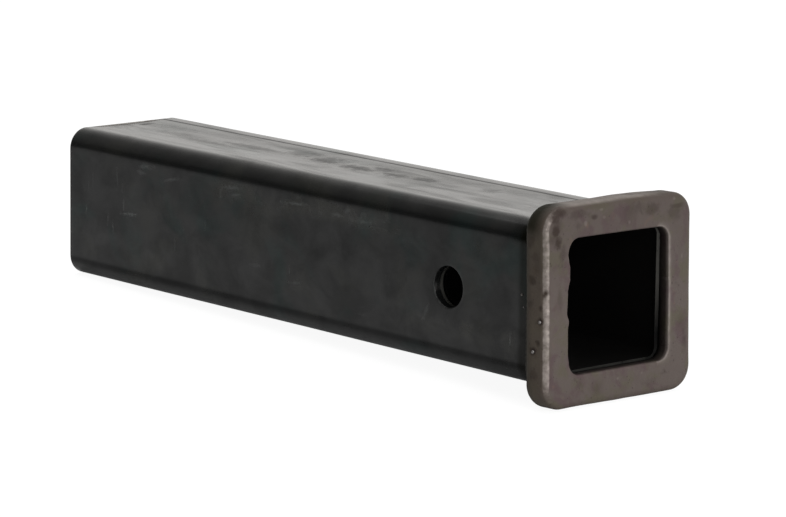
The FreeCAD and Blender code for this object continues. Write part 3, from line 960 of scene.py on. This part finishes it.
# Dark blotches on the top wall: middle along X and Y, reach along X and Y in mm, and strength.
TOP_SMUDGES = (
    (-133.0, 8.0, 12.0, 8.0, 0.8),
    (-114.0, 4.0, 12.0, 8.0, 1.0),
    (-91.0, 1.0, 12.0, 6.0, 1.0),
    (-81.0, 6.0, 10.0, 5.0, 0.9),
    (-68.0, 2.0, 10.0, 6.0, 0.9),
    (-54.0, 4.0, 9.0, 5.0, 1.0),
    (-18.0, 6.5, 7.0, 4.0, 0.6),
    (-9.0, 13.0, 14.0, 4.0, 0.4),
    (-143.0, 12.0, 16.0, 5.0, 0.45),
    (-158.0, 1.0, 22.0, 5.5, 0.6),
    (-180.0, -6.0, 24.0, 5.5, 0.5),
    (-206.0, -1.0, 20.0, 5.0, 0.4),
    (-218.0, 7.0, 18.0, 5.0, 0.35),
    (-236.5, 5.0, 2.5, 5.0, 1.0),
)
# Where the smudges' faces stand in mm, by the axis that they face along, and the smudges' reach along it.
TOP_FACE, NEAR_FACE, FRONT_FACE = (2, 31.5, 3.0), (1, -31.75, 3.0), (0, 60.9, 4.0)


def rows_on(face, table):
    """Rows of centre, reach and strength from a table that gives the first two along the face alone."""
    axis, level, reach = face
    return [(np.insert(row[:2], axis, level), np.insert(row[2:4], axis, reach), row[4]) for row in table]


def smudges(own, rows):
    """The largest of several smudges. Each row holds a centre and a reach in mm, and a strength."""
    return any_of(*(
        use_group("Smudge", own, Centre=np.array(centre) * MM, Reach=np.array(reach) * MM, Strength=strength)["Mask"]
        for centre, reach, strength in rows
    ))


def scrape_marks(own, side):
    """The largest of the scraped marks, on the near wall of a tube with the given side."""
    return any_of(*(
        use_group(
            "Scrape mark", own, Centre=(x * MM, -side / 2, z * MM), Turn=math.radians(turn),
            Half_length=half_length * MM, Half_width=half_width * MM, Strength=strength,
        )["Mask"]
        for x, z, turn, half_length, half_width, strength in SCRAPES
    ))


def mill_scale_material(finish, tube, tilt):
    """Black mill scale: near-black oxide with bluish and dusty patches that tint its gloss, blotches drawn out along
    the tube, scuffs, scraped marks, dark and pale smudges, burnt oil and painted shade beside the collar, and rubbed
    edges. Painted shade also lowers the gloss of the bottom wall, the near wall's upper part and the top wall's rear
    part, and darkens the pin hole past its pale ring."""
    material, surface, tree, own = new_material("Black mill scale", tilt)
    x, y, z = parts_of(own)
    height, pits = grained(own, 1100.0, 0.22)
    streaks = noise(own * (0.07, 1.0, 1.0), 150.0, 4.0, 0.6, 0.8)
    mottle = noise(own * (0.8, 1.0, 1.0), 75.0, 5.0, 0.62, 0.5)
    lengthwise = use_group("Scuffs", own, Stretch=(70.0, 1100.0, 1100.0), Cover=0.24)["Mask"]
    upright = use_group("Scuffs", own + (0.31, 0.17, 0.23), Stretch=(1100.0, 160.0, 150.0), Cover=0.26)["Mask"]
    worn = use_group("Edge wear", own, Edge=piece_number(tree, "edge"), Amount=0.30, Scale=420.0)["Mask"]
    dark = smudges(own, rows_on(NEAR_FACE, DARK_SMUDGES))
    pale = smudges(own, rows_on(NEAR_FACE, PALE_SMUDGES))

    # The top wall: blotches, its rear part, whose lower gloss is painted shade, and a line and a ridge along its far
    # edge.
    on_top = ramp(z, 0.029, 0.031)
    blotches = ramp(noise(own * (0.26, 1.0, 1.0), 62.0, 4.0, 0.55, 1.2), 0.46, 0.66) * (on_top * 0.5)
    blotches = any_of(blotches, smudges(own, rows_on(TOP_FACE, TOP_SMUDGES)))
    rear_top_shade = ramp(x, -0.110, -0.190) * on_top
    line = ramp(abs(y - 0.0187), 0.0012, 0.0003) * on_top
    ridge = ramp(y, 0.0193, 0.0212) * ramp(z, 0.026, 0.028)

    # A band of lifted flakes along the top of the near wall, pale with darker rims.
    flaky = noise(own * (0.8, 1.0, 1.3), 80.0, 4.0, 0.55, 0.4)
    band = ramp(z, 0.014, 0.018) * ramp(z, 0.0245, 0.0225) * (ramp(x, -0.160, -0.125) * ramp(x, -0.020, -0.045))
    flakes = ramp(flaky, 0.45, 0.55) * band
    rims = ramp(abs(flaky - 0.50), 0.022, 0.004) * band

    # The near wall's upper part, whose lower gloss is painted shade, the line above its lower corner, and the rim of
    # the sawn end.
    upper = ramp(z, -0.016, 0.002)
    low_line = ramp(abs(z + 0.0245), 0.0022, 0.0006)
    rear_rim = ramp(x, -0.2410, -0.2422)

    # Beside the collar: burnt oil with painted shade, and the painted shadow where the upper corner meets it.
    beside = ramp(x, 0.0385, 0.0415)
    contact = ramp(x, 0.0330, 0.0395) * (ramp(z, 0.0215, 0.0250) * ramp(z, 0.0315, 0.0290))

    # In the pin hole: a light ring part of the way in, and painted shade past it.
    depth = piece_number(tree, "depth")
    ring = ramp(depth, 0.46, 0.56) * ramp(depth, 0.78, 0.70) * 0.9
    shade_far_in = ramp(depth, 0.70, 0.78)

    scraped = any_of(
        lengthwise * (ramp(z, 0.028, 0.022) * 0.22),
        upright * 0.22,
        scrape_marks(own, tube.side) * 0.68,
        rims * 0.16,
        worn * 0.8,
    )
    base = layered(
        patched(own, 34.0, 0.50, finish.scale, finish.scale_blue, finish.scale_pale),
        (any_of(pale * 0.6, flakes * 0.55), finish.scale_dust),
        (scraped, finish.scuff),
        (pits * 0.5, (0.003, 0.003, 0.003)),
        (beside * 0.85, finish.oil),
        (ring, finish.cut_end),
        (shade_far_in, (0.001, 0.001, 0.001)),
    )
    level = 0.235 + ramp(mottle, 0.30, 0.70) * 0.14
    # Among these, painted shade lowers the gloss under the bottom wall, on the near wall's upper part, at the top's
    # rear, beside the collar and deep in the pin hole.
    shares = (
        (blotches, 0.33),
        (rear_rim, 0.5),
        (dark, 0.24),
        (upper, 0.13),
        (piece_number(tree, "under"), 0.43),
        (line, 0.4),
        (low_line, 0.32),
        (rear_top_shade, 0.14),
        (beside, 0.5),
        (contact, 0.7),
        (shade_far_in, 0.95),
        (ridge, -1.3),
        (pale, -0.20),
    )
    for mask, share in shares:
        level = level * (1.0 - mask * share)
    feed(surface, {
        "Base Color": base,
        "Specular Tint": patched(own, 34.0, 0.50, (1.0, 0.99, 0.98), (0.80, 1.0, 0.96), (1.0, 0.99, 0.955)),
        "Roughness": 0.19 + ramp(streaks, 0.35, 0.7) * 0.06 + blotches * 0.16 + line * 0.20 + scraped * 0.08,
        "Specular IOR Level": level,
        "IOR": 1.45,
        "Normal": bumps(height * 0.10 + streaks * 0.20 + mottle * 0.5, 0.00012),
    })
    return material


def sawn_material(finish, tilt):
    """Bare sawn steel: fine uneven saw lines down the end, dulled and tinged brown in patches."""
    material, surface, _, own = new_material("Sawn steel", tilt)
    lines = noise(own * (1.0, 60.0, 2200.0), 1.0, 3.0, 0.6)
    patches = patched(own, 130.0, 0.42, finish.sawn, finish.rust, finish.forged_dark)
    feed(surface, {
        "Base Color": blend(lines * 0.5, patches, finish.forged),
        "Metallic": 0.85,
        "Roughness": 0.34 + lines * 0.25,
        "Normal": bumps(lines, 0.00006),
    })
    return material


def dull_material(name, shade, tilt):
    """Dull dark steel inside the tube and on its front end: one colour with a faint grain, darkened by painted shade
    where the dim number is set.
    """
    material, surface, tree, own = new_material(name, tilt)
    height, pits = grained(own, 700.0, 0.3)
    # dim is painted shade on the far and low parts of the front end.
    darker = clamped(pits * 0.4 + noise(own, 170.0, 4.0, 0.6) * 0.5 + piece_number(tree, "dim"))
    feed(surface, {
        "Base Color": blend(darker, shade, (0.002, 0.002, 0.002)),
        "Roughness": 0.62 + height * 0.2,
        "Specular IOR Level": 0.08,
        "Normal": bumps(height, 0.0001),
    })
    return material


# Dark smudges on the collar's front face: middle along Y and Z, reach along Y and Z in mm, and strength.
FRONT_SMUDGES = (
    (-33.0, 30.5, 2.4, 3.2, 0.85),
    (-32.0, 26.0, 2.2, 4.2, 0.85),
    (-33.0, 35.4, 3.0, 3.0, 0.75),
    (-31.0, 37.4, 5.0, 2.6, 0.80),
    (-29.5, 22.0, 2.4, 4.0, 0.4),
    (-13.2, 34.1, 2.2, 1.3, 0.7),
    (-21.5, 35.8, 5.5, 2.2, 0.4),
    (30.8, 33.9, 5.0, 1.6, 0.5),
    (29.5, 31.5, 5.0, 3.2, 0.35),
    (10.6, 35.4, 5.0, 2.6, 0.35),
    (-31.2, 4.5, 1.6, 6.0, 0.3),
    (-20.7, -29.6, 3.0, 2.4, 0.3),
    (34.8, -19.7, 1.8, 6.0, 0.55),
    (16.0, -33.0, 6.0, 2.2, 0.3),
    (17.0, 34.5, 4.5, 3.2, 0.45),
    (-22.0, 31.5, 2.2, 2.2, 0.35),
)
# Pale specks on the collar's front face, in the same way.
FRONT_SPECKS = (
    (-17.8, 32.4, 0.9, 1.2, 0.8),
    (5.1, 30.1, 0.8, 0.8, 0.7),
    (29.1, 36.9, 0.9, 0.8, 0.7),
    (-9.6, 36.6, 1.1, 0.6, 0.6),
    (-8.1, 33.5, 0.9, 0.7, 0.5),
    (26.2, 5.8, 0.7, 0.7, 0.7),
    (26.4, 2.6, 0.5, 0.5, 0.5),
    (-1.0, -29.5, 0.8, 0.6, 0.5),
    (12.0, -29.0, 0.7, 0.6, 0.5),
    (33.2, 14.0, 0.6, 1.2, 0.4),
)
# Dark smudges and painted shadow rings on the collar's near side: middle along X and Z, reach in mm, and
# strength. The first two are the painted shadows round drops of spatter.
SIDE_SMUDGES = (
    (58.91, -4.31, 1.9, 1.0),
    (55.25, -16.11, 2.0, 1.0),
    (59.06, 1.0, 1.6, 0.7),
    (54.75, 11.15, 2.2, 0.6),
    (57.77, -12.43, 1.5, 0.7),
    (53.6, 2.0, 2.4, 0.5),
    (57.0, 19.5, 3.0, 0.35),
    (55.0, -25.0, 3.4, 0.4),
    (54.0, 26.0, 3.4, 0.5),
)


def forged_material(finish, tube, collar, tilt):
    """Forged steel: brown-grey scale with purple and olive patches, thin rust, dark smudges and pits, soot beside the
    weld, and metal rubbed bright along the edges. Painted light and shade as well: the rubbed front edge is partly a
    painted highlight, the mouth's far rim and the upper edge carry painted highlights, and painted shade darkens the
    dents, rings round the spatter, the upper part, the rear and near top corner, and the inside of the mouth."""
    material, surface, tree, own = new_material("Forged brown steel", tilt)
    edge, dent, side, lit, soot, inside = (
        piece_number(tree, name) for name in ("edge", "dent", "side", "lit", "soot", "inside")
    )
    patches = patched(own, 105.0, 0.53, finish.forged, finish.forged_purple, finish.forged_olive)
    rusty = patched(own + (0.7, 0.2, 0.9), 190.0, 0.38, patches, finish.rust, finish.forged_dark)
    height, pits = grained(own, 1300.0, 0.34)
    coarse = noise(own, 260.0, 4.0, 0.55)
    dent = clamped(dent * 2.2)
    worn = use_group("Edge wear", own, Edge=edge, Amount=0.27, Scale=460.0)["Mask"]
    rubbed = clamped(worn * (1.0 - dent))
    near_side = -collar.side / 2 / MM
    centres = seat_collar(np.array([[x, near_side, z] for x, z, _, _ in SIDE_SMUDGES]) * MM, tube) / MM
    side_rows = [(centre, [reach] * 3, strength) for centre, (_, _, reach, strength) in zip(centres, SIDE_SMUDGES)]
    smudge = smudges(own, side_rows + rows_on(FRONT_FACE, FRONT_SMUDGES))
    specks = smudges(own, rows_on(FRONT_FACE, FRONT_SPECKS))
    _, _, z = parts_of(own)
    base = layered(
        patches,
        (0.55, rusty),
        (side * 0.8, finish.forged_side),
        (pits * 0.55, finish.forged_dark),
        # The rubbed edge is partly a painted highlight.
        (rubbed * 0.55, finish.worn),
        # Painted highlights on the far rim and the upper edge; the specks are pale marks.
        (any_of(lit * (coarse * 0.60), specks * 0.17), finish.worn),
        # Painted shade in the dents.
        (dent * 0.6, finish.forged_dark),
        # The smudges include painted shadow rings round the spatter.
        (smudge * 0.9, finish.forged_dark),
        # Painted shade: darker towards the top.
        (ramp(z, -0.010, 0.034) * 0.24, finish.forged_dark),
        # Soot, and painted shade on the rear rounding and the near top corner.
        (soot, finish.soot),
        # Painted shade inside the mouth.
        (inside, finish.bore),
    )
    feed(surface, {
        "Base Color": base,
        "Metallic": rubbed * 0.6,
        "Roughness": 0.56 + coarse * 0.14 - rubbed * 0.16,
        "Specular IOR Level": 0.25 - any_of(inside, soot, smudge, dent) * 0.18,
        "Normal": bumps(height * 0.3 + coarse, 0.00035),
    })
    return material


def weld_material(finish, tilt):
    """Weld metal: grey, a little bright on the crests of the ripples, with brown soot in the valleys and over the whole
    near side, where it is partly painted shade.
    """
    material, surface, tree, own = new_material("Raw weld metal", tilt)
    height, _ = grained(own, 1500.0, 0.2)
    patches = patched(own, 180.0, 0.46, finish.weld, finish.forged, finish.forged_dark)
    crest = piece_number(tree, "crest")
    burnt = (1.0 - crest) * 0.9
    feed(surface, {
        "Base Color": blend(burnt, patches, finish.soot),
        "Metallic": crest * 0.7,
        "Roughness": 0.34 + burnt * 0.4,
        "Specular IOR Level": 0.10,
        "Normal": bumps(height, 0.0001),
    })
    return material


# ---------------------------------------------------------------- operators


def settings_of(scene):
    """The tube's and the collar's sizes, the finish, and the tilt at which the tube rests."""
    tube, collar = scene.receiver_tube, scene.receiver_collar
    return tube, collar, scene.receiver_finish, rest_tilt(tube, collar)


class RECEIVER_OT_square_tube(bpy.types.Operator):
    """Make the square tube with its sawn ends and its pin hole"""

    bl_idname = "receiver.square_tube"
    bl_label = "Square Tube"

    def execute(self, context):
        tube, collar, finish, tilt = settings_of(context.scene)
        points, quads, material_index, numbers = tube_shape(tube, collar)
        points = swell(points, 48.0 * MM, tube.waviness, 5)
        materials = [
            mill_scale_material(finish, tube, tilt),
            sawn_material(finish, tilt),
            # The bore's near-black colour is partly painted shade.
            dull_material("Bore scale", finish.bore, tilt),
            dull_material("Dull cut end", finish.cut_end, tilt),
        ]
        piece = build_piece("square_tube", lay_down(points, tilt), quads, numbers, materials, material_index)
        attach(piece, ROOT)
        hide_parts("receiver_tube")
        return {"FINISHED"}


class RECEIVER_OT_forged_collar(bpy.types.Operator):
    """Make the forged collar with its lip and its seat on the tube"""

    bl_idname = "receiver.forged_collar"
    bl_label = "Forged Collar"

    def execute(self, context):
        tube, collar, finish, tilt = settings_of(context.scene)
        points, quads, numbers = collar_shape(tube, collar)
        points = lay_down(seat_collar(points, tube), tilt)
        piece = build_piece("forged_collar", points, quads, numbers, [forged_material(finish, tube, collar, tilt)])
        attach(piece, ROOT)
        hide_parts("reinforcing_collar")
        return {"FINISHED"}


# Drops of spatter on the collar, which take its lean, and on the tube: x, y, z and radius, in mm.
COLLAR_SPATTER = np.array([
    [58.91, -38.85, -4.31, 0.66],
    [55.25, -38.85, -16.11, 0.74],
])
TUBE_SPATTER = np.array([
    [41.52, -31.75, 3.39, 0.50],
    [42.59, -31.75, -1.35, 0.32],
    [40.5, 4.0, 31.55, 0.45],
    [38.8, -11.0, 31.55, 0.35],
    [40.0, 31.7, -9.0, 0.50],
    [37.2, 31.7, 6.0, 0.35],
])


class RECEIVER_OT_fillet_weld(bpy.types.Operator):
    """Make the weld bead behind the collar and the drops of spatter beside it"""

    bl_idname = "receiver.fillet_weld"
    bl_label = "Fillet Weld"

    def execute(self, context):
        tube, collar, finish, tilt = settings_of(context.scene)
        material = weld_material(finish, tilt)
        points, quads, crest = weld_shape(tube, collar)
        bead = build_piece("fillet_weld", lay_down(points, tilt), quads, {"crest": crest}, [material])
        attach(bead, ROOT)
        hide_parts("collar_weld")
        balls = np.concatenate([COLLAR_SPATTER, TUBE_SPATTER]) * MM
        balls[: len(COLLAR_SPATTER), :3] = seat_collar(balls[: len(COLLAR_SPATTER), :3], tube)
        points, quads = ball_shape(balls, 16, 10)
        numbers = {"crest": np.ones(len(points))}
        spatter = build_piece("weld_spatter", lay_down(points, tilt), quads, numbers, [material])
        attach(spatter, ROOT)
        return {"FINISHED"}


class RECEIVER_OT_stage(bpy.types.Operator):
    """Set the camera, the lamps, the floor and the surrounding light"""

    bl_idname = "receiver.stage"
    bl_label = "Stage"

    def execute(self, context):
        scene = context.scene
        tube, _, _, tilt = settings_of(scene)
        scene.view_settings.view_transform = "Standard"
        place_camera(scene, scene.receiver_stage, tube, tilt)
        place_floor(scene, scene.receiver_stage)
        place_lamps(scene, scene.receiver_stage)
        surround(scene, scene.receiver_stage)
        return {"FINISHED"}


def add_holder(scene, data, right, up, back, place):
    """Adds an object that holds a camera or a lamp at a place, with its X, Y and Z along right, up and back."""
    holder = bpy.data.objects.new(data.name, data)
    axes = np.stack([right, up, back], axis=1)
    holder.matrix_world = Matrix([[*row, place[k]] for k, row in enumerate(axes)] + [[0, 0, 0, 1]])
    scene.collection.objects.link(holder)
    return holder


def place_camera(scene, stage, tube, tilt):
    """The camera stands at an azimuth and elevation about the front face's centre, in the tube's straight frame,
    shifted sideways and upwards, and is then turned by the tilt as the tube is."""
    az, el, roll = stage.azimuth, stage.elevation, stage.roll
    back = np.array([math.sin(az) * math.cos(el), -math.cos(az) * math.cos(el), math.sin(el)])
    right = np.array([math.cos(az), math.sin(az), 0.0])
    up = np.cross(back, right)
    right, up = math.cos(roll) * right + math.sin(roll) * up, -math.sin(roll) * right + math.cos(roll) * up
    place = stage.distance * back - stage.aside * right - stage.below * up + np.array([tube.hole_setback, 0.0, 0.0])
    camera = bpy.data.cameras.new("camera")
    camera.sensor_width = SENSOR_WIDTH
    camera.lens = stage.focal * SENSOR_WIDTH
    camera.clip_end = 100.0
    scene.camera = add_holder(scene, camera, *lay_down(np.array([right, up, back, place]), tilt))


def place_floor(scene, stage):
    """A flat sheet of pale paper under the tube. What the camera sees of it is lifted to white, and keeps its shadow.
    What is mirrored of it is lifted most behind the tube, where a studio's paper is lit brightest."""
    lowest = CAD_BOX[0][2]
    reach = 30.0
    corners = np.array([[-1, -1, 0], [1, -1, 0], [1, 1, 0], [-1, 1, 0]]) * reach + np.array([0.0, 0.0, lowest])
    mesh = bpy.data.meshes.new("floor")
    mesh.from_pydata(corners.tolist(), [], [(0, 1, 2, 3)])
    floor = bpy.data.objects.new("floor", mesh)
    scene.collection.objects.link(floor)
    material = bpy.data.materials.new("Pale paper")
    tree = empty_tree(material)
    rays = outputs_of(tree.nodes.new("ShaderNodeLightPath"))
    _, y, _ = parts_of(from_node("ShaderNodeTexCoord", {}, "Object", tree))
    mirrored = any_of(rays["Is Glossy Ray"], rays["Is Transmission Ray"])
    lift = rays["Is Camera Ray"] * 0.93 + mirrored * (ramp(y, 0.05, 0.25) * 0.60 + 0.12)
    shade = blend(rays["Is Camera Ray"], stage.paper, (0.14, 0.14, 0.14))
    paper = from_node("ShaderNodeBsdfDiffuse", {"Color": shade})
    glow = from_node("ShaderNodeEmission", {"Color": WHITE, "Strength": lift})
    both = from_node("ShaderNodeAddShader", {0: paper, 1: glow})
    feed(tree.nodes.new("ShaderNodeOutputMaterial"), {"Surface": both})
    mesh.materials.append(material)


def place_lamps(scene, stage):
    """One wide soft lamp overhead, a little behind the tube, and one beside the camera."""
    settings = (
        ("overhead", (-0.15, 0.10, 1.10), (0.0, 0.0, 0.0), 1.3, stage.overhead),
        ("front", (1.35, -0.25, 0.45), (0.03, -0.02, 0.0), 0.60, stage.key),
    )
    for name, place, target, size, power in settings:
        lamp = bpy.data.lights.new(name, "AREA")
        lamp.shape = "SQUARE"
        lamp.size = size
        lamp.energy = power
        back = np.subtract(place, target)
        back = back / np.linalg.norm(back)
        right = np.cross([0.0, 0.0, 1.0], back)
        right = right / np.linalg.norm(right)
        add_holder(scene, lamp, right, np.cross(back, right), back, place)


WHITE = (1.0, 1.0, 1.0, 1.0)


def surround(scene, stage):
    """White where the camera looks past the floor. For the light itself the surroundings are white behind and above
    the tube and dim towards the camera's side, as in a studio."""
    world = bpy.data.worlds.new("studio")
    tree = empty_tree(world)
    direction = from_node("ShaderNodeTexCoord", {}, "Generated", tree)
    _, _, z = parts_of(direction)
    facing = calculate("DOT_PRODUCT", direction, (-0.42, -0.90, 0.0))
    level = any_of(1.0 - ramp(facing, -0.1, 0.85) * 0.9, ramp(z, 0.16, 0.85) * 0.7)
    mirrored = any_of(level, ramp(z, 0.08, 0.72) * 0.66)
    glow = (1.09 - ramp(z, 0.30, 0.55) * 0.36) * mirrored
    gloss = from_node("ShaderNodeBackground", {"Color": (1.0, 0.98, 0.95, 1.0), "Strength": glow})
    soft = from_node("ShaderNodeBackground", {"Color": WHITE, "Strength": level * stage.world})
    seen = from_node("ShaderNodeBackground", {"Color": WHITE, "Strength": 1.0}, 0, tree)
    rays = outputs_of(tree.nodes.new("ShaderNodeLightPath"))
    light = from_node("ShaderNodeMixShader", {0: rays["Is Glossy Ray"], 1: soft, 2: gloss})
    both = from_node("ShaderNodeMixShader", {0: rays["Is Camera Ray"], 1: light, 2: seen})
    feed(tree.nodes.new("ShaderNodeOutputWorld"), {"Surface": both})
    scene.world = world


class RECEIVER_PT_panel(bpy.types.Panel):
    """Lists the pieces of the receiver tube, the stage and the settings"""

    bl_idname = "RECEIVER_PT_panel"
    bl_label = "Receiver Tube"
    bl_space_type = "VIEW_3D"
    bl_region_type = "UI"
    bl_category = "Receiver Tube"

    def draw(self, context):
        layout = self.layout
        for operator in OPERATORS:
            layout.operator(operator.bl_idname)
        for name in SETTINGS:
            group = getattr(context.scene, name)
            box = layout.box()
            for prop in group.bl_rna.properties:
                if prop.identifier not in ("rna_type", "name"):
                    box.prop(group, prop.identifier)


SETTINGS = {
    "receiver_tube": ReceiverTubeSizes,
    "receiver_collar": ReceiverCollarSizes,
    "receiver_finish": ReceiverFinish,
    "receiver_stage": ReceiverStage,
}
OPERATORS = (RECEIVER_OT_square_tube, RECEIVER_OT_forged_collar, RECEIVER_OT_fillet_weld, RECEIVER_OT_stage)
CLASSES = (*SETTINGS.values(), *OPERATORS, RECEIVER_PT_panel)


def register():
    for cls in CLASSES:
        bpy.utils.register_class(cls)
    for name, group in SETTINGS.items():
        setattr(bpy.types.Scene, name, bpy.props.PointerProperty(type=group))


def unregister():
    for name in SETTINGS:
        delattr(bpy.types.Scene, name)
    for cls in reversed(CLASSES):
        bpy.utils.unregister_class(cls)


def main():
    register()
    bpy.ops.receiver.square_tube()
    bpy.ops.receiver.forged_collar()
    bpy.ops.receiver.fillet_weld()
    bpy.ops.receiver.stage()


if __name__ == "__main__":
    main()
